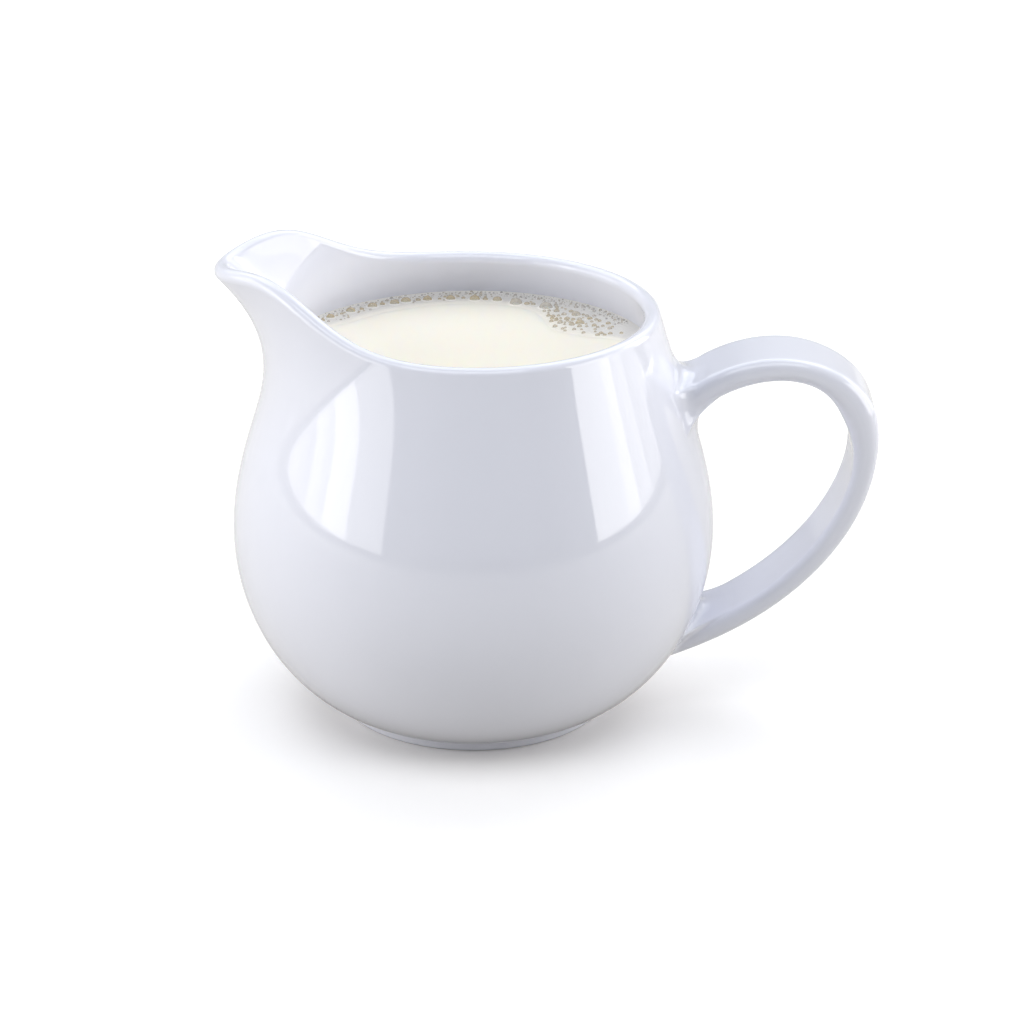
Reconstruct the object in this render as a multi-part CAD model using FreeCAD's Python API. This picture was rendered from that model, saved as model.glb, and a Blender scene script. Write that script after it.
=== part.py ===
import FreeCAD, Part
import math
import os
from FreeCAD import Vector

# Small glazed porcelain milk jug with a pulled pouring spout and a strap handle, filled with milk.
# Millimetres, +Z up. The origin is the centre of the foot's underside, the spout points to -X
# and the handle to +X, so the jug is its own mirror image in the plane y = 0.

# Driving dimensions of the body
bellyRadius = 45.0
rimHeight = 76.7
rimRadius = 34.3
wallThickness = 3.0
floorThickness = 3.2
floorCornerRise = 2.0
floorCornerReach = 4.0

# The outer wall's outline is a Bezier curve. These are its inner poles, from the foot up:
# radius as a share of bellyRadius, height as a share of rimHeight.
wallPoles = [(1.024, 0.166), (1.096, 0.489), (1.007, 0.575), (0.858, 0.798)]

# Foot ring, a little narrower than the body that stands on it
footRadius = 25.8
footHeight = 2.4
footGroove = 1.6
footRingWidth = 4.2
footEdgeRadius = 0.8
recessDepth = 1.4
footOverlap = 0.6

# Pouring spout: a broad shoulder and a narrow beak pull the upper wall outwards.
# The shoulder also lifts the rim, and a narrow droop lowers its very tip again.
spoutDepth = 23.2
shoulderReach = 9.4
shoulderSharpness = 5.7
beakReach = 3.0
beakSharpness = 39.0
reachPower = 4.0
shoulderLift = 28.5
liftSharpness = 6.5
tipDroop = 21.5
droopSharpness = 12.3
liftPower = 2.7

# Strap handle: the centreline is a Bezier curve in the plane y = 0. Its first poles stand off the
# upper wall at handleTopDrop below the rim, its last ones off the lower wall at handleEndHeight,
# each as (outwards, upwards) from the wall there. Both ends run on along the curve by handleBury,
# a share of its length, to be well inside the wall.
handleTopDrop = 17.0
handleEndHeight = 10.4
handleTopPoles = [(-2.4, 0.0), (17.5, 20.7), (55.3, 9.6)]
handleEndPoles = [(36.8, 14.7), (14.4, 7.9), (-5.6, 0.0)]
handleBury = 0.03
handleTopWidth = 16.2
handleEndWidth = 15.6
handleThickness = 4.2
topRootRadius = 3.4
endRootRadius = 1.5

# The strap is thickest at its upper root and slimmest at its lower one. These are the Bezier poles
# of its thickness along the centreline, as shares of handleThickness.
handleSwell = [1.15, 0.80, 1.05, 0.80]

# Milk, up to milkDrop below the rim
milkDrop = 7.2
milkClearance = 0.15

# How finely the curved surfaces are drawn
ringPoints = 60
wallRings = 15
lipRings = 7
floorCornerRings = 3
handleSections = 18
probeStep = 0.001
searchSteps = 40


def bezierValue(values, t):
    """Value at t from 0 to 1 of the Bezier law with these pole values."""
    degree = len(values) - 1
    return sum(math.comb(degree, i) * t**i * (1 - t)**(degree - i) * v for i, v in enumerate(values))


def bezierPoint(poles, t):
    """Point of the plane Bezier curve of these poles at t from 0 to 1."""
    return bezierValue([p[0] for p in poles], t), bezierValue([p[1] for p in poles], t)


def bump(angle, sharpness):
    """1 at the spout's middle, falling smoothly to about 0 round the rest of the jug."""
    return math.exp(-sharpness * (1 + math.cos(angle)))


def outline():
    """All poles of the outer wall's outline, from the top of the foot to the rim."""
    inner = [(r * bellyRadius, h * rimHeight) for r, h in wallPoles]
    return [(footRadius + footGroove, footHeight)] + inner + [(rimRadius, rimHeight)]


def wallRadius(height):
    """Radius of the outer wall at this height, away from the spout."""
    low, high = 0.0, 1.0
    for halving in range(searchSteps):
        middle = (low + high) / 2
        if bezierPoint(outline(), middle)[1] < height:
            low = middle
        else:
            high = middle
    return bezierPoint(outline(), high)[0]


def outerPoint(angle, t):
    """Point of the outer wall, with the spout's pull added down to spoutDepth below the rim."""
    radius, height = bezierPoint(outline(), t)
    pull = max(0.0, 1 - (rimHeight - height) / spoutDepth)
    reach = shoulderReach * bump(angle, shoulderSharpness) + beakReach * bump(angle, beakSharpness)
    lift = shoulderLift * bump(angle, liftSharpness) - tipDroop * bump(angle, droopSharpness)
    radius += reach * pull**reachPower
    return Vector(radius * math.cos(angle), radius * math.sin(angle), height + lift * pull**liftPower)


def wallFrame(angle, t):
    """Point of the outer wall with its outward normal and its upward tangent there."""
    up = outerPoint(angle, t + probeStep) - outerPoint(angle, t - probeStep)
    around = outerPoint(angle + probeStep, t) - outerPoint(angle - probeStep, t)
    normal = around.cross(up)
    return outerPoint(angle, t), normal.normalize(), up.normalize()


def wallPoint(angle, t, depth):
    """Point at this depth under the outer wall's surface, measured square to it."""
    point, normal, up = wallFrame(angle, t)
    return point - normal * depth


def lipPoint(angle, turn):
    """Point of the half-round lip, where turn runs from 0 outside to pi inside."""
    point, normal, up = wallFrame(angle, 1.0)
    lipRadius = wallThickness / 2
    return point - normal * (lipRadius * (1 - math.cos(turn))) + up * (lipRadius * math.sin(turn))


def ring(pointAt):
    """Closed smooth wire through the points that pointAt gives, round from the spout's middle."""
    points = [pointAt(math.pi + 2 * math.pi * i / ringPoints) for i in range(ringPoints)]
    curve = Part.BSplineCurve()
    curve.interpolate(Points=points, PeriodicFlag=True)
    return Part.Wire(curve.toShape())


def circleRing(radius, height):
    """Level ring of this radius, drawn with the same points as the others."""
    return ring(lambda a: Vector(radius * math.cos(a), radius * math.sin(a), height))


def floorStart(depth, level):
    """Where a surface at this depth comes down to floorCornerRise above level, as the outline's t."""
    low, high = 0.0, 0.5
    for halving in range(searchSteps):
        middle = (low + high) / 2
        if wallPoint(0.0, middle, depth).z < level + floorCornerRise:
            low = middle
        else:
            high = middle
    return high


def innerRings(depth, level):
    """Rings of the inside at this depth, from the rim down and round onto a floor at level."""
    start = floorStart(depth, level)
    rings = []
    for i in range(wallRings):
        t = start + (1 - start) * math.cos(math.pi / 2 * i / (wallRings - 1))
        rings.append(ring(lambda a, t=t: wallPoint(a, t, depth)))
    # The corner is a quadratic Bezier that leaves along the wall and lands flat on the floor
    edge = wallPoint(0.0, start, depth)
    up = wallFrame(0.0, start)[2]
    cornerRadius = edge.x - up.x / up.z * (edge.z - level)
    corner = [(edge.x, edge.z), (cornerRadius, level), (cornerRadius - floorCornerReach, level)]
    for i in range(1, floorCornerRings + 1):
        radius, height = bezierPoint(corner, i / floorCornerRings)
        rings.append(circleRing(radius, height))
    return rings


def solidThrough(*groups):
    """Solid whose side runs smoothly through each group of rings, with a flat end at each end."""
    faces = [Part.Face(groups[0][0]), Part.Face(groups[-1][-1])]
    for rings in groups:
        faces += Part.makeLoft(rings, False).Faces
    shell = Part.makeShell(faces)
    shell.sewShape()
    return Part.makeSolid(shell)


def makeBowl():
    """Body with its outer wall, half-round lip and inside, closed from the foot to the floor."""
    outside = []
    for i in range(wallRings):
        t = math.sin(math.pi / 2 * i / (wallRings - 1))
        outside.append(ring(lambda a, t=t: outerPoint(a, t)))
    inside = innerRings(wallThickness, footHeight + floorThickness)
    lip = [outside[-1]]
    for i in range(1, lipRings + 1):
        turn = math.pi * i / (lipRings + 1)
        lip.append(ring(lambda a, turn=turn: lipPoint(a, turn)))
    lip.append(inside[0])
    return solidThrough(outside, lip, inside)


def makeCavity(depth, level):
    """Everything inside the surface at this depth, closed well above the rim by a flat ring."""
    topHeight = rimHeight + shoulderLift
    top = ring(lambda a: Vector(wallPoint(a, 1.0, depth).x, wallPoint(a, 1.0, depth).y, topHeight))
    inside = innerRings(depth, level)
    return solidThrough([top, inside[0]], inside)


def makeFoot():
    """Foot ring turned round the axis, with rounded edges and a shallow recess inside it."""
    inside = footRadius - footRingWidth
    e = footEdgeRadius
    c = e * (1 - math.sqrt(0.5))
    top = footHeight + footOverlap
    edges = [
        Part.LineSegment(Vector(0, 0, recessDepth), Vector(inside, 0, recessDepth)),
        Part.LineSegment(Vector(inside, 0, recessDepth), Vector(inside, 0, e)),
        Part.Arc(Vector(inside, 0, e), Vector(inside + c, 0, c), Vector(inside + e, 0, 0)),
        Part.LineSegment(Vector(inside + e, 0, 0), Vector(footRadius - e, 0, 0)),
        Part.Arc(Vector(footRadius - e, 0, 0), Vector(footRadius - c, 0, c), Vector(footRadius, 0, e)),
        Part.LineSegment(Vector(footRadius, 0, e), Vector(footRadius, 0, top)),
        Part.LineSegment(Vector(footRadius, 0, top), Vector(0, 0, top)),
        Part.LineSegment(Vector(0, 0, top), Vector(0, 0, recessDepth)),
    ]
    profile = Part.Face(Part.Wire([edge.toShape() for edge in edges]))
    return profile.revolve(Vector(0, 0, 0), Vector(0, 0, 1), 360)


def handleLine():
    """All poles of the handle's centreline, as (x, z)."""
    poles = []
    for height, offsets in ((rimHeight - handleTopDrop, handleTopPoles), (handleEndHeight, handleEndPoles)):
        radius = wallRadius(height)
        poles += [(radius + out, height + up) for out, up in offsets]
    return poles


def strapSection(poles, t):
    """Flat strap with half-round sides, square to the handle's centreline at t."""
    x, z = bezierPoint(poles, t)
    before = bezierPoint(poles, t - probeStep)
    after = bezierPoint(poles, t + probeStep)
    along = Vector(after[0] - before[0], 0, after[1] - before[1]).normalize()
    across = Vector(0, 1, 0)
    outward = along.cross(across)
    radius = handleThickness * bezierValue(handleSwell, t) / 2
    halfWidth = (handleTopWidth + (handleEndWidth - handleTopWidth) * t) / 2
    flat = halfWidth - radius

    def at(w, h):
        return Vector(x, 0, z) + across * w + outward * h

    return Part.Wire([
        Part.makeLine(at(-flat, radius), at(flat, radius)),
        Part.Arc(at(flat, radius), at(halfWidth, 0), at(flat, -radius)).toShape(),
        Part.makeLine(at(flat, -radius), at(-flat, -radius)),
        Part.Arc(at(-flat, -radius), at(-halfWidth, 0), at(-flat, radius)).toShape(),
    ])


def makeHandle():
    """Strap handle that reaches into the wall at both ends."""
    poles = handleLine()
    sections = []
    for i in range(handleSections):
        share = i / (handleSections - 1)
        sections.append(strapSection(poles, share + (2 * share - 1) * handleBury))
    return Part.makeLoft(sections, True)


def roundRoot(jug, lowest, highest, radius):
    """Blend the handle's root between these heights into the outer wall."""
    wall = max(jug.Faces, key=lambda face: face.Area)
    edges = []
    for edge in wall.Edges:
        box = edge.BoundBox
        if box.XMin > footRadius and box.ZMin > lowest and box.ZMax < highest:
            edges.append(edge)
    return jug.makeFillet(radius, edges).Solids[0]


def makeJug():
    """Bowl, foot and handle as one solid, with nothing of the handle inside the bowl."""
    cavity = makeCavity(wallThickness / 2, footHeight + floorThickness / 2)
    handle = makeHandle().cut(cavity)
    jug = makeBowl().fuse([makeFoot(), handle]).removeSplitter().Solids[0]
    middle = rimHeight / 2
    jug = roundRoot(jug, middle, rimHeight, topRootRadius)
    return roundRoot(jug, footHeight, middle, endRootRadius)


def makeMilk():
    """Milk up to its level, a named clearance away from the glazed inside."""
    depth = wallThickness + milkClearance
    fill = makeCavity(depth, footHeight + floorThickness + milkClearance)
    reach = 2 * bellyRadius
    corner = Vector(-reach, -reach, rimHeight - milkDrop)
    above = Part.makeBox(2 * reach, 2 * reach, 2 * reach, corner)
    return fill.cut(above)


os.makedirs("parts", exist_ok=True)
parts = {"jug": makeJug(), "milk": makeMilk()}
for name, shape in parts.items():
    solid = shape.Solids[0]
    solid.exportStep(f"parts/{name}.step")
    print(name, len(shape.Solids), "solid", shape.isValid(), round(solid.Volume), "mm3")
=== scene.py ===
import math
import bpy
import numpy as np
from mathutils import Matrix, Vector


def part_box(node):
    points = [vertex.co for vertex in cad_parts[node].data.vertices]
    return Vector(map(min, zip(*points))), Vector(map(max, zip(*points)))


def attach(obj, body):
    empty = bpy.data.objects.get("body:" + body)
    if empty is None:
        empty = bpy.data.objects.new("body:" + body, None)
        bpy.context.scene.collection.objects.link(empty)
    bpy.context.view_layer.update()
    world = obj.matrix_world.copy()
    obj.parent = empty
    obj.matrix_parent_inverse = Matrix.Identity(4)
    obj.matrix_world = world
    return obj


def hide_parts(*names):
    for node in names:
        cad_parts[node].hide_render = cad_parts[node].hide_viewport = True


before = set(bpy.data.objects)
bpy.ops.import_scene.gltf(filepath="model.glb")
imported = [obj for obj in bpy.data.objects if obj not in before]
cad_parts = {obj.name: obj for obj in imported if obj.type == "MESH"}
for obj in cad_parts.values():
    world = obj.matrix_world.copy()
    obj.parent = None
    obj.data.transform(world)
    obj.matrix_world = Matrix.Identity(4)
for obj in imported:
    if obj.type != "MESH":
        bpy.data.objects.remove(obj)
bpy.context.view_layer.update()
millimetre = 0.001
print("frame loaded")

# the jug in millimetres; reach and lift hold the amount and sharpness of bumps round the axis
jugShape = {
    "bellyRadius": 45.0, "rimHeight": 76.7, "rimRadius": 34.3, "wall": 3.0, "floor": 3.2,
    "wallPoles": [(1.024, 0.166), (1.096, 0.489), (1.007, 0.575), (0.858, 0.798)],  # radius, height as shares
    "footRadius": 25.8, "footHeight": 2.4, "footGroove": 1.6, "footRing": 4.2, "recess": 1.4,
    "spoutStart": 53.5, "reach": [(9.4, 5.7), (3.0, 39.0)], "reachPower": 4.0,
    "lift": [(28.5, 6.5), (-21.5, 12.3)], "liftPower": 2.7,
    "middleHole": 0.5, "footRounding": (0.6, 0.7, 0.8, 0.5), "footSteps": 6,
    "insideStart": 0.11, "cornerRise": 1.5, "cornerReach": 5.0, "cornerSteps": 6,
    "around": 320, "wallRows": 110, "lipRows": 16, "insideRows": 60,
}


def bezier(poles, t):
    # Bezier curve: poles weighted by the Bernstein polynomials of t
    poles = np.asarray(poles, float)
    degree = len(poles) - 1
    weights = [math.comb(degree, i) * t**i * (1 - t)**(degree - i) for i in range(degree + 1)]
    return sum(w[..., None] * p for w, p in zip(weights, poles))


def wallOutline(t):
    # radius and height of the outer wall away from the spout, t from 0 at the foot to 1 at the rim
    s = jugShape
    middle = [(r * s["bellyRadius"], h * s["rimHeight"]) for r, h in s["wallPoles"]]
    ends = [(s["footRadius"] + s["footGroove"], s["footHeight"])], [(s["rimRadius"], s["rimHeight"])]
    return bezier(ends[0] + middle + ends[1], t)


def spoutPull(angle, bumps):
    # sum of amount * exp(-sharpness * (1 + cos(angle))), which peaks at the spout, angle pi
    return sum(amount * np.exp(-sharpness * (1 + np.cos(angle))) for amount, sharpness in bumps)


def outerWall(angle, t):
    # turned outline, its radius plus reach * pull^power and its height plus lift * pull^power
    s = jugShape
    radius, height = np.moveaxis(wallOutline(t), -1, 0)
    pull = np.clip((height - s["spoutStart"]) / (s["rimHeight"] - s["spoutStart"]), 0, None)
    radius = radius + spoutPull(angle, s["reach"]) * pull**s["reachPower"]
    height = height + spoutPull(angle, s["lift"]) * pull**s["liftPower"]
    return np.stack([radius * np.cos(angle), radius * np.sin(angle), height], -1)


def unit(v):
    # vector divided by its length
    return v / np.linalg.norm(v, axis=-1, keepdims=True)


def wallFrame(angle, t):
    # point of the outer wall, its outward normal and its upward tangent, by central differences
    angle, t = np.broadcast_arrays(np.asarray(angle, float), np.asarray(t, float))
    step = 1e-4
    up = outerWall(angle, t + step) - outerWall(angle, t - step)
    around = outerWall(angle + step, t) - outerWall(angle - step, t)
    return outerWall(angle, t), unit(np.cross(around, up)), unit(up)


def innerWall(angle, t, depth):
    # outer wall moved inwards by depth, square to itself
    point, normal, up = wallFrame(angle, t)
    return point - depth * normal


def roundedPath(corners, rounding, steps):
    # straight runs between corners, each inner corner cut back and bridged by a quadratic Bezier
    corners = np.asarray(corners, float)
    rows = [corners[:1]]
    for before, corner, after, cut in zip(corners, corners[1:], corners[2:], rounding):
        ends = corner + cut * unit(before - corner), corner, corner + cut * unit(after - corner)
        rows.append(bezier(ends, np.linspace(0, 1, steps)))
    rows.append(corners[-1:])
    return np.concatenate(rows)


def turned(outline, angle):
    # radius and height rows turned round the axis
    r, z = outline[:, 0, None], outline[:, 1, None]
    return np.stack([r * np.cos(angle), r * np.sin(angle), z + 0 * angle], -1)


def gridFaces(rows, columns, start=0, closed=True):
    # quads between neighbouring rows of a grid, the last column joined to the first when closed
    i = np.arange(rows - 1)[:, None] * columns
    j = np.arange(columns if closed else columns - 1)[None]
    k = (j + 1) % columns
    return start + np.stack([i + j, i + k, i + k + columns, i + j + columns], -1).reshape(-1, 4)


def fanFaces(ring, pole, flip=False):
    # triangles from a closed ring of indices to one pole vertex
    faces = np.stack([ring, np.roll(ring, -1), np.full_like(ring, pole)], -1)
    return faces[:, ::-1] if flip else faces


def makePiece(name, points, faceGroups, material, attributes=None):
    # mesh object from a point array in millimetres and arrays of faces with any number of corners
    mesh = bpy.data.meshes.new(name)
    mesh.vertices.add(len(points))
    mesh.vertices.foreach_set("co", (points * millimetre).astype(np.float32).ravel())
    corners = np.concatenate([f.ravel() for f in faceGroups])
    sizes = np.concatenate([np.full(len(f), f.shape[1]) for f in faceGroups])
    mesh.loops.add(len(corners))
    mesh.loops.foreach_set("vertex_index", corners.astype(np.int32))
    mesh.polygons.add(len(sizes))
    mesh.polygons.foreach_set("loop_start", (np.cumsum(sizes) - sizes).astype(np.int32))
    mesh.update(calc_edges=True)
    mesh.polygons.foreach_set("use_smooth", np.ones(len(sizes), bool))
    for label, values in (attributes or {}).items():
        layer = mesh.attributes.new(label, "FLOAT", "POINT")
        layer.data.foreach_set("value", values.astype(np.float32))
    mesh.materials.append(material)
    piece = bpy.data.objects.new(name, mesh)
    bpy.context.scene.collection.objects.link(piece)
    return piece


def newMaterial(name, **sockets):
    material = bpy.data.materials.new(name)
    material.use_nodes = True
    shader = material.node_tree.nodes["Principled BSDF"]
    for socket, value in sockets.items():
        shader.inputs[socket.replace("_", " ")].default_value = value
    return material, material.node_tree, shader


def addNode(tree, kind, values=None, **settings):
    node = tree.nodes.new(kind)
    for key, value in settings.items():
        setattr(node, key, value)
    for key, value in (values or {}).items():
        node.inputs[key].default_value = value
    return node


porcelainLook = {
    "colour": (0.81, 0.82, 0.895, 1), "pooled": (0.79, 0.80, 0.875, 1), "cloudScale": 36.0,
    "roughness": 0.07, "index": 1.52, "coat": 0.3, "coatRoughness": 0.03,
    "waveScale": 27.0, "peelScale": 480.0, "peelShare": 0.06, "bumpStrength": 0.35, "bumpDistance": 0.00012,
}


def makePorcelain():
    # glaze with a faint tint where it pools, long waves and a fine peel: height = peel * peelShare + wave
    look = porcelainLook
    material, tree, shader = newMaterial(
        "glazedPorcelain", Roughness=look["roughness"], IOR=look["index"], Coat_Weight=look["coat"],
        Coat_Roughness=look["coatRoughness"])
    place = addNode(tree, "ShaderNodeTexCoord")
    cloud = addNode(tree, "ShaderNodeTexNoise", {"Scale": look["cloudScale"], "Detail": 3.0})
    tint = addNode(tree, "ShaderNodeMix", data_type="RGBA")
    tint.inputs["A"].default_value = look["colour"]
    tint.inputs["B"].default_value = look["pooled"]
    wave = addNode(tree, "ShaderNodeTexNoise", {"Scale": look["waveScale"], "Detail": 1.0})
    peel = addNode(tree, "ShaderNodeTexNoise", {"Scale": look["peelScale"], "Detail": 2.0})
    both = addNode(tree, "ShaderNodeMath", {1: look["peelShare"]}, operation="MULTIPLY_ADD")
    relief = {"Strength": look["bumpStrength"], "Distance": look["bumpDistance"]}
    bump = addNode(tree, "ShaderNodeBump", relief)
    link = tree.links.new
    for texture in (cloud, wave, peel):
        link(place.outputs["Object"], texture.inputs["Vector"])
    link(cloud.outputs["Fac"], tint.inputs["Factor"])
    link(tint.outputs["Result"], shader.inputs["Base Color"])
    link(peel.outputs["Fac"], both.inputs[0])
    link(wave.outputs["Fac"], both.inputs[2])
    link(both.outputs["Value"], bump.inputs["Height"])
    link(bump.outputs["Normal"], shader.inputs["Normal"])
    return material


milkLook = {
    "colour": (0.93, 0.87, 0.75, 1), "skin": (0.92, 0.87, 0.76, 1), "cloudScale": 60.0,
    "roughness": 0.22, "index": 1.35,
    "scatter": 0.6, "scatterReach": (1.0, 0.75, 0.45), "scatterDepth": 0.002,
}


def makeMilkLook():
    # cloudy cream that scatters light within the surface
    look = milkLook
    material, tree, shader = newMaterial(
        "milk", Roughness=look["roughness"], IOR=look["index"], Subsurface_Weight=look["scatter"],
        Subsurface_Radius=look["scatterReach"], Subsurface_Scale=look["scatterDepth"])
    place = addNode(tree, "ShaderNodeTexCoord")
    cloud = addNode(tree, "ShaderNodeTexNoise", {"Scale": look["cloudScale"], "Detail": 2.0})
    tint = addNode(tree, "ShaderNodeMix", data_type="RGBA")
    tint.inputs["A"].default_value = look["colour"]
    tint.inputs["B"].default_value = look["skin"]
    link = tree.links.new
    link(place.outputs["Object"], cloud.inputs["Vector"])
    link(cloud.outputs["Fac"], tint.inputs["Factor"])
    link(tint.outputs["Result"], shader.inputs["Base Color"])
    return material


frothLook = {
    # the grey film colour is partly painted shade by the far wall, the whiter rim colour is a painted
    # highlight and the tan dish colour is painted shade
    "colour": (0.73, 0.71, 0.67, 1), "rim": (0.90, 0.89, 0.86, 1), "paintedDishShade": (0.66, 0.55, 0.34, 1),
    "roughness": 0.18, "index": 1.35, "foamScale": 2600.0, "foamStrength": 0.4, "foamDepth": 0.00008,
}


def makeFrothLook():
    # grey film, partly painted shade by the far wall; whiter on the rims, a painted highlight round each
    # bubble; creamy where it thins out into the milk and the painted shade ends; tan down in the dishes,
    # painted shade of each bubble's inside
    look = frothLook
    material, tree, shader = newMaterial("froth", Roughness=look["roughness"], IOR=look["index"])
    place = addNode(tree, "ShaderNodeTexCoord")
    foam = addNode(tree, "ShaderNodeTexVoronoi", {"Scale": look["foamScale"]})
    bump = addNode(tree, "ShaderNodeBump", {"Strength": look["foamStrength"], "Distance": look["foamDepth"]})
    # the next attribute whitens the film round each bubble: a painted highlight
    rim = addNode(tree, "ShaderNodeAttribute", attribute_name="rim")
    # the next attribute turns the dishes tan: painted shade inside each bubble
    paintedDishShade = addNode(tree, "ShaderNodeAttribute", attribute_name="paintedDishShade")
    paintedRimHighlightMix = addNode(tree, "ShaderNodeMix", data_type="RGBA")
    paintedRimHighlightMix.inputs["A"].default_value = look["colour"]
    paintedRimHighlightMix.inputs["B"].default_value = look["rim"]
    paintedDishShadeMix = addNode(tree, "ShaderNodeMix", data_type="RGBA")
    paintedDishShadeMix.inputs["B"].default_value = look["paintedDishShade"]
    fade = addNode(tree, "ShaderNodeAttribute", attribute_name="cream")
    intoMilk = addNode(tree, "ShaderNodeMix", data_type="RGBA")
    intoMilk.inputs["B"].default_value = milkLook["colour"]
    link = tree.links.new
    link(place.outputs["Object"], foam.inputs["Vector"])
    link(foam.outputs["Distance"], bump.inputs["Height"])
    link(bump.outputs["Normal"], shader.inputs["Normal"])
    link(rim.outputs["Fac"], paintedRimHighlightMix.inputs["Factor"])
    link(fade.outputs["Fac"], intoMilk.inputs["Factor"])
    link(paintedRimHighlightMix.outputs["Result"], intoMilk.inputs["A"])
    link(intoMilk.outputs["Result"], paintedDishShadeMix.inputs["A"])
    link(paintedDishShade.outputs["Fac"], paintedDishShadeMix.inputs["Factor"])
    link(paintedDishShadeMix.outputs["Result"], shader.inputs["Base Color"])
    return material


bubbleLook = {
    # the grey and tan tints are painted shade of each bubble's inside, tan also standing for warm light
    # scattered in the milk; the darker edge colour is painted shade
    "grey": (0.66, 0.64, 0.61, 1), "tan": (0.68, 0.54, 0.29, 1), "paintedEdgeShade": (0.40, 0.34, 0.24, 1),
    "roughness": 0.05, "index": 1.35, "middle": 0.35, "edge": 0.85, "rimBlend": 0.22,
    "swirlScale": 900.0, "swirlStrength": 0.2, "swirlDepth": 0.00005,
}


def makeBubbleLook():
    # thin film, tan or grey by the bubble, half clear where it faces the eye and darker towards its edge; the
    # tints are painted shade of the bubble's inside and the darker edge is painted shade
    look = bubbleLook
    material, tree, shader = newMaterial("bubbleFilm", Roughness=look["roughness"], IOR=look["index"])
    kind = addNode(tree, "ShaderNodeAttribute", attribute_name="tan")
    tint = addNode(tree, "ShaderNodeMix", data_type="RGBA")
    tint.inputs["A"].default_value = look["grey"]
    tint.inputs["B"].default_value = look["tan"]
    place = addNode(tree, "ShaderNodeTexCoord")
    swirl = addNode(tree, "ShaderNodeTexNoise", {"Scale": look["swirlScale"], "Detail": 2.0})
    relief = {"Strength": look["swirlStrength"], "Distance": look["swirlDepth"]}
    bump = addNode(tree, "ShaderNodeBump", relief)
    facing = addNode(tree, "ShaderNodeLayerWeight", {"Blend": look["rimBlend"]})
    # painted shade: darker towards the dome's edge as the film turns from the eye
    shade = addNode(tree, "ShaderNodeMix", data_type="RGBA")
    shade.inputs["B"].default_value = look["paintedEdgeShade"]
    cover = addNode(tree, "ShaderNodeMapRange", {"To Min": look["middle"], "To Max": look["edge"]})
    link = tree.links.new
    link(kind.outputs["Fac"], tint.inputs["Factor"])
    link(place.outputs["Object"], swirl.inputs["Vector"])
    link(swirl.outputs["Fac"], bump.inputs["Height"])
    link(bump.outputs["Normal"], shader.inputs["Normal"])
    link(facing.outputs["Facing"], shade.inputs["Factor"])
    link(tint.outputs["Result"], shade.inputs["A"])
    link(shade.outputs["Result"], shader.inputs["Base Color"])
    link(facing.outputs["Facing"], cover.inputs["Value"])
    link(cover.outputs["Result"], shader.inputs["Alpha"])
    return material


porcelain = makePorcelain()
milkMaterial = makeMilkLook()
frothMaterial = makeFrothLook()
bubbleMaterial = makeBubbleLook()
print("materials made")


def makeBowl():
    # rows round the axis from the foot's middle up the wall, over the lip and down the inside;
    # the lip is a half circle about the middle of the rim, the other rows ease towards rim and foot
    s = jugShape
    angle = np.linspace(0, 2 * np.pi, s["around"], endpoint=False)
    inside = s["footRadius"] - s["footRing"]
    foot = roundedPath(
        [(s["middleHole"], s["recess"]), (inside, s["recess"]), (inside, 0), (s["footRadius"], 0),
         (s["footRadius"], s["footHeight"]), (s["footRadius"] + s["footGroove"], s["footHeight"])],
        s["footRounding"], s["footSteps"])
    ease = np.sin(np.linspace(0, np.pi / 2, s["wallRows"]))
    outer = outerWall(angle[None], ease[1:, None])
    point, normal, up = wallFrame(angle, 1.0)
    turn = np.linspace(0, np.pi, s["lipRows"])[1:, None, None]
    lipRadius = s["wall"] / 2
    lip = point - lipRadius * (1 - np.cos(turn)) * normal + lipRadius * np.sin(turn) * up
    start = s["insideStart"]
    ease = start + (1 - start) * np.cos(np.linspace(0, np.pi / 2, s["insideRows"]))
    inner = innerWall(angle[None], ease[1:, None], s["wall"])
    edge = inner[-1, 0]
    level = s["footHeight"] + s["floor"]
    corner = [(edge[0], edge[2]), (edge[0] - s["cornerRise"], level), (edge[0] - s["cornerReach"], level)]
    curve = bezier(corner, np.linspace(0, 1, s["cornerSteps"])[1:])
    floor = np.concatenate([curve, [(s["middleHole"], level)]])
    grid = np.concatenate([turned(foot, angle), outer, lip, inner, turned(floor, angle)])
    rows, columns = grid.shape[:2]
    points = np.concatenate([grid.reshape(-1, 3), [(0, 0, s["recess"]), (0, 0, level)]])
    first = np.arange(columns)
    last = first + (rows - 1) * columns
    faces = [gridFaces(rows, columns), fanFaces(first, rows * columns, flip=True),
             fanFaces(last, rows * columns + 1)]
    return makePiece("bowl", points, faces, porcelain)


bowl = makeBowl()
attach(bowl, "root")
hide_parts("jug")
print("bowl made")

handleShape = {
    "topDrop": 17.0, "endHeight": 10.4,
    "topPoles": [(-2.4, 0.0), (17.5, 20.7), (55.3, 9.6)],    # outwards, upwards from the wall there
    "endPoles": [(36.8, 14.7), (14.4, 7.9), (-5.6, 0.0)],
    "topWidth": 16.2, "endWidth": 15.6, "edgeShare": 0.88,
    "thickness": 4.2, "swell": [1.15, 0.80, 1.05, 0.80],      # shares of the thickness, as Bezier poles
    "bend": 2.0, "bendPlace": 0.36, "bendSpread": 0.08,       # thicker round the outer bend
    "topRoot": (6.5, 3.2, 8.0), "endRoot": (9.5, 2.6, 0.8),   # blend above, beside and below the strap
    "sink": 0.03, "hidden": 0.5, "endDepth": 1.0,             # how far the roots lie inside the wall
    "rows": 200, "rootRows": 24, "searchRows": 1500, "flatSteps": 12, "edgeSteps": 9, "sideSteps": 6,
}


def wallRadius(height):
    # radius of the outer wall at this height, away from the spout
    return np.interp(height, outlineTable[:, 1], outlineTable[:, 0])


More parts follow.
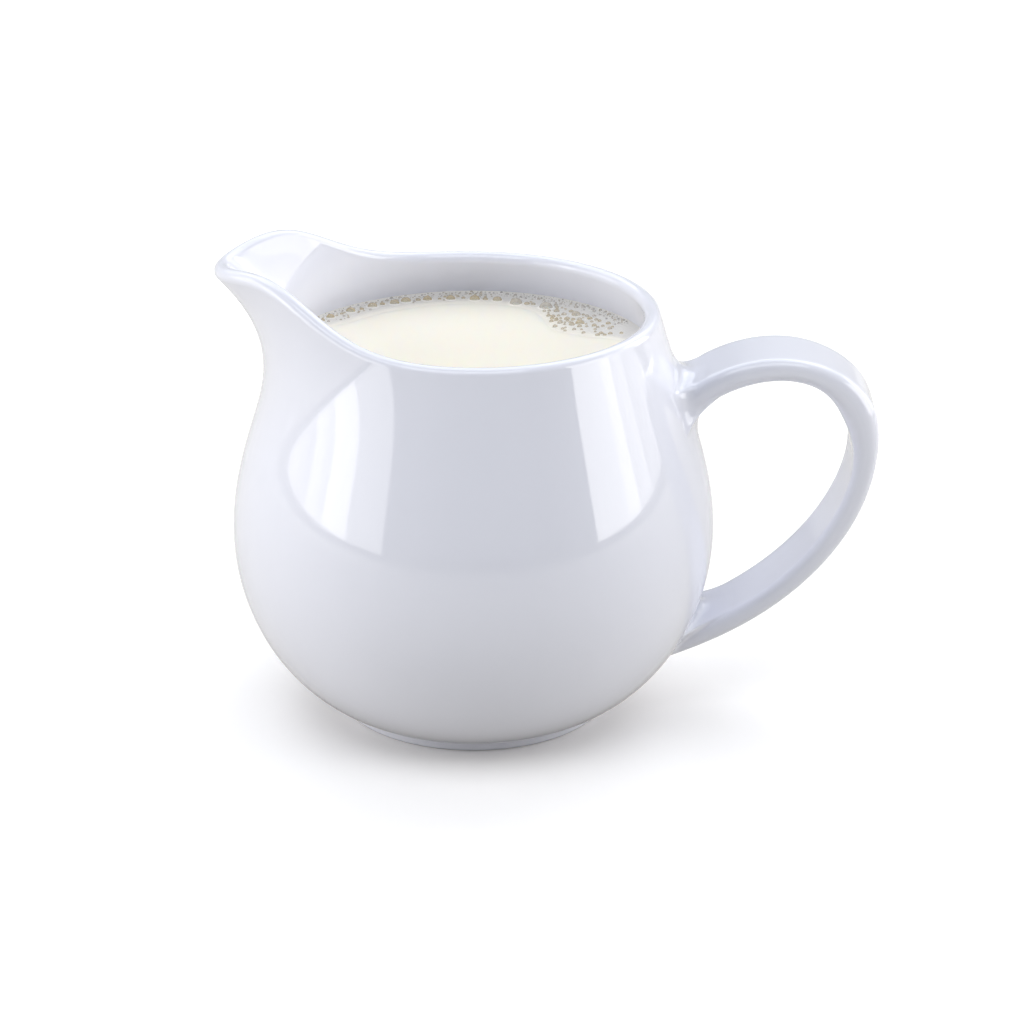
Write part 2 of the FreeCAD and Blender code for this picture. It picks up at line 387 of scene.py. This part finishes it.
def handlePoles():
    # poles of the centreline as (x, z), each set off from the wall at the height of its end
    h, s = handleShape, jugShape
    poles = []
    for level, offsets in ((s["rimHeight"] - h["topDrop"], h["topPoles"]), (h["endHeight"], h["endPoles"])):
        poles += [(wallRadius(level) + out, level + up) for out, up in offsets]
    return poles


def strapOutline():
    # round the section: shares (-1 to 1) of its flat width and height, and the direction out of the edge
    h = handleShape
    signs = np.array([(1, 1), (1, -1), (-1, -1), (-1, 1)])
    rows = []
    for i, (corner, following) in enumerate(zip(signs, np.roll(signs, -1, axis=0))):
        turn = np.pi / 2 * (1 - i) - np.linspace(0, np.pi / 2, h["edgeSteps"])
        edge = np.stack([0 * turn + corner[0], 0 * turn + corner[1], np.cos(turn), np.sin(turn)], -1)
        share = np.linspace(0, 1, h["flatSteps"] if i % 2 else h["sideSteps"])[1:-1, None]
        run = edge[-1] + share * [*(following - corner), 0, 0]
        rows += [edge, run]
    return np.concatenate(rows)


def strapPoint(u, outline):
    # centreline point + shares of the flat width and height + edge radius, square to the centreline;
    # thickness = thickness * swell + bend * exp(-((u - bendPlace) / bendSpread)^2)
    h = handleShape
    step = 1e-4
    x, z = np.moveaxis(bezier(strapLine, u), -1, 0)
    tangent = unit(bezier(strapLine, u + step) - bezier(strapLine, u - step))
    outward = np.stack([-tangent[..., 1], 0 * x, tangent[..., 0]], -1)
    across = np.array([0.0, 1.0, 0.0])
    thicker = h["bend"] * np.exp(-((u - h["bendPlace"]) / h["bendSpread"])**2)
    high = (h["thickness"] * bezier(np.array(h["swell"])[:, None], u)[..., 0] + thicker) / 2
    wide = (h["topWidth"] + (h["endWidth"] - h["topWidth"]) * u) / 2
    edge = h["edgeShare"] * high
    sideways = outline[:, 0] * (wide - edge) + outline[:, 2] * edge
    upwards = outline[:, 1] * (high - edge) + outline[:, 3] * edge
    centre = np.stack([x, 0 * x, z], -1)
    return centre + sideways[..., None] * across + upwards[..., None] * outward


outlineTable = wallOutline(np.linspace(0, 1, 2000))
strapLine = handlePoles()


def ontoWall(points, sink):
    # points moved level, towards or from the axis, to lie this far under the wall
    radius = wallRadius(points[..., 2]) - sink
    scale = radius / np.hypot(points[..., 0], points[..., 1])
    return np.stack([points[..., 0] * scale, points[..., 1] * scale, points[..., 2]], -1)


def rootCrossing(outline, fromStart):
    # for each line of the strap, the u at which it comes out of the wall
    u = np.linspace(0 if fromStart else 1, 0.5, handleShape["searchRows"])
    lines = np.stack([strapPoint(np.full(len(outline), value), outline) for value in u])
    outside = np.hypot(lines[..., 0], lines[..., 1]) - wallRadius(lines[..., 2])
    index = np.argmax(outside > 0, axis=0)
    column = np.arange(len(outline))
    before, after = outside[index - 1, column], outside[index, column]
    share = before / (before - after)
    return u[index - 1] + (u[index] - u[index - 1]) * share


def rootBlend(outline, crossing, sizes, direction):
    # quadratic Bezier from the wall, one size away from the strap, to the strap, one size along it
    above, beside, below = sizes
    up = outline[:, 3] * direction
    size = beside + (above - beside) * np.clip(up, 0, 1)**2 + (below - beside) * np.clip(-up, 0, 1)**2
    foot = strapPoint(crossing, outline)
    step = 1e-3
    speed = np.linalg.norm(strapPoint(crossing + step, outline) - foot, axis=-1) / step
    leave = crossing + direction * size / speed
    strap = strapPoint(leave, outline)
    middle = bezier(strapLine, crossing)
    centre = np.stack([middle[:, 0], 0 * crossing, middle[:, 1]], -1)
    rise = 0.01
    slope = (wallRadius(foot[:, 2] + rise) - wallRadius(foot[:, 2] - rise)) / (2 * rise)
    normal = unit(unit(foot * [1, 1, 0]) - slope[:, None] * [0, 0, 1])
    spread = foot - centre
    spread = unit(spread - (spread * normal).sum(-1, keepdims=True) * normal)
    onWall = ontoWall(foot + size[:, None] * spread, handleShape["sink"])
    deep = handleShape["hidden"]
    hidden = ontoWall(foot + (size[:, None] + deep) * spread, deep)
    t = np.linspace(0, 1, handleShape["rootRows"])[:, None, None]
    blend = (1 - t)**2 * onWall + 2 * t * (1 - t) * foot + t**2 * strap
    return np.concatenate([hidden[None], blend]), leave


def makeHandle():
    # blend, strap and blend as one grid of rows, each end closed by a fan inside the wall
    h = handleShape
    outline = strapOutline()
    top, topLeave = rootBlend(outline, rootCrossing(outline, True), h["topRoot"], 1)
    end, endLeave = rootBlend(outline, rootCrossing(outline, False), h["endRoot"], -1)
    share = np.linspace(0, 1, h["rows"])[1:-1]
    rows = [strapPoint(topLeave + (endLeave - topLeave) * v, outline) for v in share]
    grid = np.concatenate([top, rows, end[::-1]])
    rows, columns = grid.shape[:2]
    middles = [ring.mean(0) - [h["endDepth"], 0, 0] for ring in (grid[0], grid[-1])]
    points = np.concatenate([grid.reshape(-1, 3), middles])
    first = np.arange(columns)
    last = first + (rows - 1) * columns
    faces = [gridFaces(rows, columns), fanFaces(first, rows * columns, flip=True),
             fanFaces(last, rows * columns + 1)]
    return makePiece("handle", points, faces, porcelain)


handle = makeHandle()
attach(handle, "root")
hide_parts("jug")
print("handle made")

milkShape = {
    "level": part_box("milk")[1].z / millimetre, "intoWall": 0.25, "meniscus": 0.3, "meniscusWidth": 1.2,
    "searchFrom": 0.5, "searchRows": 600,
    "middle": 0.01, "sideRows": 20, "sideStart": 0.80, "sideDrop": 0.5, "around": 320, "rows": 70,
}


def wallAtLevel(angle, level, depth):
    # for each angle, the point where the surface at this depth crosses a level
    m = milkShape
    t = np.linspace(m["searchFrom"], 1, m["searchRows"])
    lines = innerWall(angle[None], t[:, None], depth)
    index = np.argmax(lines[..., 2] > level, axis=0)
    column = np.arange(len(angle))
    low, high = lines[index - 1, column], lines[index, column]
    share = (level - low[:, 2]) / (high[:, 2] - low[:, 2])
    return (low + (high - low) * share[:, None])[:, :2]


def makeMilk():
    # disc of rows from the middle to just inside the wall, raised by a meniscus exp(-distance / width)
    m = milkShape
    s = jugShape
    angle = np.linspace(0, 2 * np.pi, m["around"], endpoint=False)
    edge = wallAtLevel(angle, m["level"], s["wall"] - m["intoWall"])
    share = np.sin(np.linspace(m["middle"], np.pi / 2, m["rows"]))[:, None]
    plan = share[..., None] * edge
    radius = np.hypot(*edge.T)
    distance = (1 - share) * radius
    height = m["level"] + m["meniscus"] * np.exp(-distance / m["meniscusWidth"])
    top = np.concatenate([plan, height[..., None]], -1)
    t = np.linspace(m["sideStart"], s["insideStart"], m["sideRows"])
    side = innerWall(angle[None], t[:, None], s["wall"] - m["intoWall"])
    side = side[side[:, :, 2].max(1) < m["level"] - m["sideDrop"]]
    grid = np.concatenate([top, side])
    rows, columns = grid.shape[:2]
    points = np.concatenate([grid.reshape(-1, 3), [(0, 0, m["level"]), (0, 0, s["footHeight"] + s["floor"])]])
    first = np.arange(columns)
    last = first + (rows - 1) * columns
    faces = [gridFaces(rows, columns)[:, ::-1], fanFaces(first, rows * columns),
             fanFaces(last, rows * columns + 1, flip=True)]
    return makePiece("milk", points, faces, milkMaterial)


milk = makeMilk()
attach(milk, "root")
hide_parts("milk")
print("milk made")

frothShape = {
    "span": (8, 162), "ends": (12, 14),                       # degrees round the far wall, and its tapers
    "width": 8.0, "wideAt": 38, "widening": 9.5, "wideSpread": 22, "outside": 0.5,
    "intoWall": 0.25, "film": 0.14, "sunk": 0.12, "fallShare": 0.35, "thick": 0.6,
    "climb": 0.25, "climbWidth": 0.5, "fadeFrom": 0.45,
    # the last two set how fast the painted shade fills each dish and below what bubble radius the painted rim
    # highlight fades
    "dish": 0.35, "rim": 0.12, "rimPlace": 1.05, "rimWidth": 0.17, "paintedShadeSlope": 2.2, "rimHighlightRadius": 0.5,
    "columns": 620, "rows": 70, "rowPower": 1.15,
}
# tan is each bubble's share of painted shade in its dish and dome
bubbleShape = {
    "seed": 7, "clearance": 0.12, "milkRadius": 31.0,
    "set": [(74, 5.7, 1.25, 0.3), (61, 5.8, 1.35, 0.25),      # angle, distance from the wall, radius, tan
            (46, 5.9, 0.95, 0.45), (37, 8.6, 0.95, 0.8)],
    "row": {"angles": (151, 78, -4.3), "radii": [0.55, 1.0, 0.45, 1.05, 0.5, 1.05, 0.6, 1.05, 1.1],
            "distance": 2.0, "drift": 0.042, "driftFrom": 150, "across": 0.3, "along": 0.5,
            "radius": (0.85, 1.0), "tan": (0.75, 1.0)},
    "cluster": {"tries": 190, "angle": (46, 15), "limits": (18, 76), "margin": 3.5, "least": 4.5,
                "nearest": 4.2, "radius": (0.25, 0.65), "tan": (0.4, 0.8)},
    "specks": {"tries": 70, "angle": (84, 150), "distance": (1.2, 5.0), "radius": (0.15, 0.35),
               "tan": (0.4, 0.9)},
    "foam": {"tries": 1500, "angle": (27, 156), "radius": (3.0, 0.07), "smallest": 0.1, "largest": 0.5,
             "offWall": 0.7, "spread": 1.3, "tan": (0, 0.35)},
    "flatten": 0.85, "sunk": 0.1, "around": 14, "rings": 4,
}


def frothWidth(degrees):
    # width + widening * exp(-((angle - wideAt) / wideSpread)^2), narrowed to nothing at both ends
    f = frothShape
    (first, last), (rise, fall) = f["span"], f["ends"]
    ends = np.clip((degrees - first) / rise, 0, 1) * np.clip((last - degrees) / fall, 0, 1)
    widening = f["widening"] * np.exp(-((degrees - f["wideAt"]) / f["wideSpread"])**2)
    return (f["width"] + widening) * np.sqrt(ends)


def placeBubbles():
    # rows of (angle, distance from the wall, radius, tan share of painted shade): the big ones are set,
    # the others are drawn at random and kept where they clear all before them
    b = bubbleShape
    draw = np.random.default_rng(b["seed"])
    chosen = list(b["set"])

    def add(angle, distance, radius, tan):
        around = math.radians(angle) * b["milkRadius"]
        for a, d, r, _ in chosen:
            apart = math.hypot(math.radians(a) * b["milkRadius"] - around, d - distance)
            if apart < r + radius + b["clearance"]:
                return
        chosen.append((angle, distance, radius, tan))

    row = b["row"]
    for angle, radius in zip(np.arange(*row["angles"]), row["radii"] * 2):
        distance = row["distance"] + row["drift"] * (row["driftFrom"] - angle)
        distance += draw.uniform(-row["across"], row["across"])
        angle += draw.uniform(-row["along"], row["along"])
        add(angle, distance, radius * draw.uniform(*row["radius"]), draw.uniform(*row["tan"]))
    cluster = b["cluster"]
    for attempt in range(cluster["tries"]):
        angle = draw.normal(*cluster["angle"])
        reach = frothWidth(angle) - cluster["margin"]
        if cluster["limits"][0] < angle < cluster["limits"][1] and reach > cluster["least"]:
            add(angle, draw.uniform(cluster["nearest"], reach), draw.uniform(*cluster["radius"]),
                draw.uniform(*cluster["tan"]))
    specks = b["specks"]
    for attempt in range(specks["tries"]):
        add(*[draw.uniform(*specks[key]) for key in ("angle", "distance", "radius", "tan")])
    foam = b["foam"]
    for attempt in range(foam["tries"]):
        radius = min(draw.gamma(*foam["radius"]), foam["largest"])
        angle = draw.uniform(*foam["angle"])
        distance = radius * foam["offWall"] + abs(draw.normal(0, foam["spread"]))
        add(angle, distance, max(radius, foam["smallest"]), draw.uniform(*foam["tan"]))
    return np.array(chosen)


def onFroth(angle, distance):
    # plan position this far in from the wall at this angle in degrees
    turn = np.radians(angle)
    edge = wallAtLevel(turn, milkShape["level"], jugShape["wall"])
    length = np.hypot(*edge.T)
    return edge * ((length - distance) / length)[:, None]


def makeFroth(bubbles):
    # strip along the far wall: film height, a climb up the wall, and for each bubble a round dish
    # dish * radius * (1 - near^2) and a rim round it, rim * radius * exp(-((near - rimPlace) / rimWidth)^2),
    # where near is the distance from its middle in radii
    f, m = frothShape, milkShape
    degrees = np.linspace(*f["span"], f["columns"])
    edge = wallAtLevel(np.radians(degrees), m["level"], jugShape["wall"] - f["intoWall"])
    length = np.hypot(*edge.T)
    width = frothWidth(degrees) + f["outside"]
    share = np.linspace(0, 1, f["rows"])[:, None]**f["rowPower"]
    distance = share * width
    plan = edge * ((length - distance) / length)[..., None]
    fall = np.clip((1 - share) / f["fallShare"], 0, 1)
    height = (f["film"] + f["sunk"]) * fall**2 * (3 - 2 * fall) - f["sunk"]
    height = height + f["climb"] * np.exp(-(distance - f["intoWall"]) / f["climbWidth"])
    tan, paintedRimHighlight = np.zeros_like(height), np.zeros_like(height)
    centres = onFroth(bubbles[:, 0], bubbles[:, 1])
    for (x, y), (_, _, radius, depth) in zip(centres, bubbles):
        near = np.hypot(plan[..., 0] - x, plan[..., 1] - y) / radius
        inside = np.clip(1 - near**2, 0, 1)
        ring = np.exp(-((near - f["rimPlace"]) / f["rimWidth"])**2)
        height = height - f["dish"] * radius * inside + f["rim"] * radius * ring
        # painted shade: tan down in each dish, as much as the bubble's tan share
        tan = np.maximum(tan, depth * np.clip(inside * f["paintedShadeSlope"], 0, 1))
        # painted highlight: a whiter ring round each bubble, fainter on the smallest
        paintedRimHighlight = np.maximum(paintedRimHighlight, ring * min(1, radius / f["rimHighlightRadius"]))
    grid = np.concatenate([plan, (m["level"] + height)[..., None]], -1)
    under = grid.copy()
    under[..., 2] = m["level"] - f["thick"]
    rows, columns = grid.shape[:2]
    count = rows * columns
    points = np.concatenate([grid.reshape(-1, 3), under.reshape(-1, 3)])
    border = np.concatenate([np.arange(columns), np.arange(1, rows) * columns + columns - 1,
                             (rows - 1) * columns + np.arange(columns - 2, -1, -1),
                             np.arange(rows - 2, 0, -1) * columns])
    after = np.roll(border, -1)
    skirt = np.stack([border, after, after + count, border + count], -1)
    faces = [gridFaces(rows, columns, closed=False)[:, ::-1], gridFaces(rows, columns, count, closed=False),
             skirt]
    # the film's grey, partly painted shade, fades into the milk's cream away from the wall
    fade = np.clip((share - f["fadeFrom"]) / (1 - f["fadeFrom"]), 0, 1) + 0 * height
    layers = {"paintedDishShade": tan, "rim": paintedRimHighlight, "cream": fade * fade * (3 - 2 * fade)}
    layers = {key: np.concatenate([value.ravel(), value.ravel() * 0]) for key, value in layers.items()}
    return makePiece("froth", points, faces, frothMaterial, layers)


def makeDomes(bubbles):
    # round cap of each bubble, joined into one mesh: rings of a flattened half sphere and a top point
    b = bubbleShape
    size = bubbles[:, 2]
    around, rings = b["around"], b["rings"]
    turn = np.linspace(0, 2 * np.pi, around, endpoint=False)
    rise = np.linspace(0, np.pi / 2, rings, endpoint=False)
    ring = np.stack([np.cos(rise)[:, None] * np.cos(turn), np.cos(rise)[:, None] * np.sin(turn),
                     np.sin(rise)[:, None] + 0 * turn], -1).reshape(-1, 3)
    cap = np.concatenate([ring, [(0, 0, 1)]]) * [1, 1, b["flatten"]]
    level = milkShape["level"] + (frothShape["film"] - b["sunk"] * size)
    base = np.concatenate([onFroth(bubbles[:, 0], bubbles[:, 1]), level[:, None]], -1)
    points = (base[:, None] + size[:, None, None] * cap).reshape(-1, 3)
    side, top = gridFaces(rings, around), fanFaces(np.arange(around) + (rings - 1) * around, rings * around)
    offset = np.arange(len(bubbles))[:, None, None] * len(cap)
    faces = [(side + offset).reshape(-1, 4), (top + offset).reshape(-1, 3)]
    # each dome carries its bubble's tan share, the amount of painted shade in its tint
    return makePiece("bubbles", points, faces, bubbleMaterial, {"tan": np.repeat(bubbles[:, 3], len(cap))})


bubbles = placeBubbles()
for piece in (makeFroth(bubbles), makeDomes(bubbles)):
    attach(piece, "root")
print("froth made with", len(bubbles), "bubbles")


# floor and room, in metres
studio = {
    "floorRadius": 1.5, "innerRings": [0.01, 0.5], "sweep": 0.35, "sweepRows": 10, "around": 120,
    "wallHeight": 1.3, "wallFrom": -0.25, "wallOver": 0.35,   # sin(angle) where the wall starts, and how fast
    "floorColour": (0.64, 0.62, 0.58, 1), "seenColour": (1.07, 1.055, 1.04, 1),
    "roomColour": (0.02, 0.03, 0.05, 1),
}


def makeFloor():
    # disc about the jug whose back part sweeps up into a wall through a quarter circle; its colour as
    # the camera sees it is paler than the one that lights the jug
    s = studio
    angle = np.radians(np.linspace(0, 360, s["around"], endpoint=False))
    facing = np.clip((np.sin(angle) - s["wallFrom"]) / s["wallOver"], 0, 1)
    rise = facing**2 * (3 - 2 * facing)
    turn = np.linspace(0, np.pi / 2, s["sweepRows"])
    bend = s["floorRadius"] - s["sweep"] + s["sweep"] * np.sin(turn)
    radius = np.concatenate([s["innerRings"], bend, [s["floorRadius"]]])[:, None]
    height = np.concatenate([[0, 0], s["sweep"] * (1 - np.cos(turn)), [s["wallHeight"]]])[:, None]
    grid = np.stack([radius * np.cos(angle), radius * np.sin(angle), height * rise], -1)
    rows, columns = grid.shape[:2]
    points = np.concatenate([grid.reshape(-1, 3), [(0, 0, 0)]]) / millimetre
    faces = [gridFaces(rows, columns)[:, ::-1], fanFaces(np.arange(columns), rows * columns)]
    material = bpy.data.materials.new("paleSweep")
    material.use_nodes = True
    tree = material.node_tree
    tree.nodes.clear()
    out = addNode(tree, "ShaderNodeOutputMaterial")
    matt = addNode(tree, "ShaderNodeBsdfDiffuse")
    rays = addNode(tree, "ShaderNodeLightPath")
    tone = addNode(tree, "ShaderNodeMix", data_type="RGBA")
    tone.inputs["A"].default_value = s["floorColour"]
    tone.inputs["B"].default_value = s["seenColour"]
    tree.links.new(rays.outputs["Is Camera Ray"], tone.inputs["Factor"])
    tree.links.new(tone.outputs["Result"], matt.inputs["Color"])
    tree.links.new(matt.outputs["BSDF"], out.inputs["Surface"])
    makePiece("sweep", points, faces, material)


def makeWorld():
    # dim even light from all round
    world = bpy.data.worlds.new("room")
    bpy.context.scene.world = world
    world.use_nodes = True
    world.node_tree.nodes["Background"].inputs["Color"].default_value = studio["roomColour"]
    world.node_tree.nodes["Background"].inputs["Strength"].default_value = 1.0


# each side panel stands between two azimuths (degrees from the front, right positive) and two heights
sidePanels = {
    "distance": 1.0, "heights": (0.04, 0.7), "colour": (1.01, 1.0, 0.99),
    "panels": [("leftRear", -112, -86, 1.6), ("leftFar", -86, -74, 2.8), ("leftBright", -74, -60, 4.4),
               ("leftNear", -60, -41, 2.2), ("rightNear", 60, 79, 3.7), ("rightBright", 79, 87, 4.0),
               ("rightEdge", 87, 97, 2.4), ("rightFar", 97, 112, 1.4), ("rightRear", 112, 128, 3.0)],
}
# each upper panel hangs at an azimuth and an elevation and is aimed at the jug
upperPanels = {
    "distance": 1.2, "aim": (0, 0, 0.04),
    "panels": [("topFront", 0, 66, (1.0, 0.6), 2.3), ("topBack", 180, 55, (1.4, 1.0), 1.4),
               ("topLeft", -90, 50, (1.2, 1.2), 0.5), ("topRight", 90, 55, (1.3, 1.3), 0.3),
               ("backLeft", -140, 40, (0.8, 0.8), 0.5), ("backRight", 140, 40, (0.8, 0.8), 0.9),
               ("lowFront", 0, 15, (1.4, 0.5), 0.2)],
    "colour": (0.97, 1.0, 1.04),
}


def addPanel(name, place, aim, size, strength, colour):
    # a panel's power is its brightness * pi * area; nothing but the jug and the floor sees it
    light = bpy.data.lights.new(name, "AREA")
    light.shape = "RECTANGLE"
    light.size, light.size_y = size
    light.energy = strength * math.pi * size[0] * size[1]
    light.color = colour
    holder = bpy.data.objects.new(name, light)
    holder.location = place
    holder.rotation_euler = (Vector(aim) - Vector(place)).to_track_quat("-Z", "Y").to_euler()
    holder.visible_camera = False
    bpy.context.scene.collection.objects.link(holder)


def makeLamps():
    # side panels face the axis level with themselves; upper panels are aimed at one point of the jug
    s, u = sidePanels, upperPanels
    low, high = s["heights"]
    level = (low + high) / 2
    for name, first, last, strength in s["panels"]:
        middle, spread = math.radians((first + last) / 2), math.radians(last - first)
        place = (s["distance"] * math.sin(middle), -s["distance"] * math.cos(middle), level)
        size = (2 * s["distance"] * math.tan(spread / 2), high - low)
        addPanel(name, place, (0, 0, level), size, strength, s["colour"])
    for name, azimuth, elevation, size, strength in u["panels"]:
        turn, rise = math.radians(azimuth), math.radians(elevation)
        way = (math.sin(turn) * math.cos(rise), -math.cos(turn) * math.cos(rise), math.sin(rise))
        addPanel(name, [u["distance"] * c for c in way], u["aim"], size, strength, u["colour"])


# metres, degrees and millimetres of lens
cameraPlace = {
    "aim": (0.0072, 0.0, 0.0373), "distance": 0.600, "elevation": 22.5, "azimuth": 0.5, "roll": 0.2,
    "lens": 112.4, "sensor": 36.0,
}


def makeCamera():
    # long lens that looks down on the aim from the front
    c = cameraPlace
    data = bpy.data.cameras.new("camera")
    data.lens = c["lens"]
    data.sensor_width = c["sensor"]
    camera = bpy.data.objects.new("camera", data)
    up, side = math.radians(c["elevation"]), math.radians(c["azimuth"])
    back = Vector((math.sin(side) * math.cos(up), -math.cos(side) * math.cos(up), math.sin(up)))
    turn = (-back).to_track_quat("-Z", "Y").to_matrix() @ Matrix.Rotation(math.radians(c["roll"]), 3, "Z")
    camera.matrix_world = Matrix.Translation(Vector(c["aim"]) + back * c["distance"]) @ turn.to_4x4()
    bpy.context.scene.collection.objects.link(camera)
    bpy.context.scene.camera = camera


makeFloor()
makeWorld()
makeLamps()
makeCamera()
bpy.context.scene.view_settings.view_transform = "Standard"
print("floor, lamps and camera made")
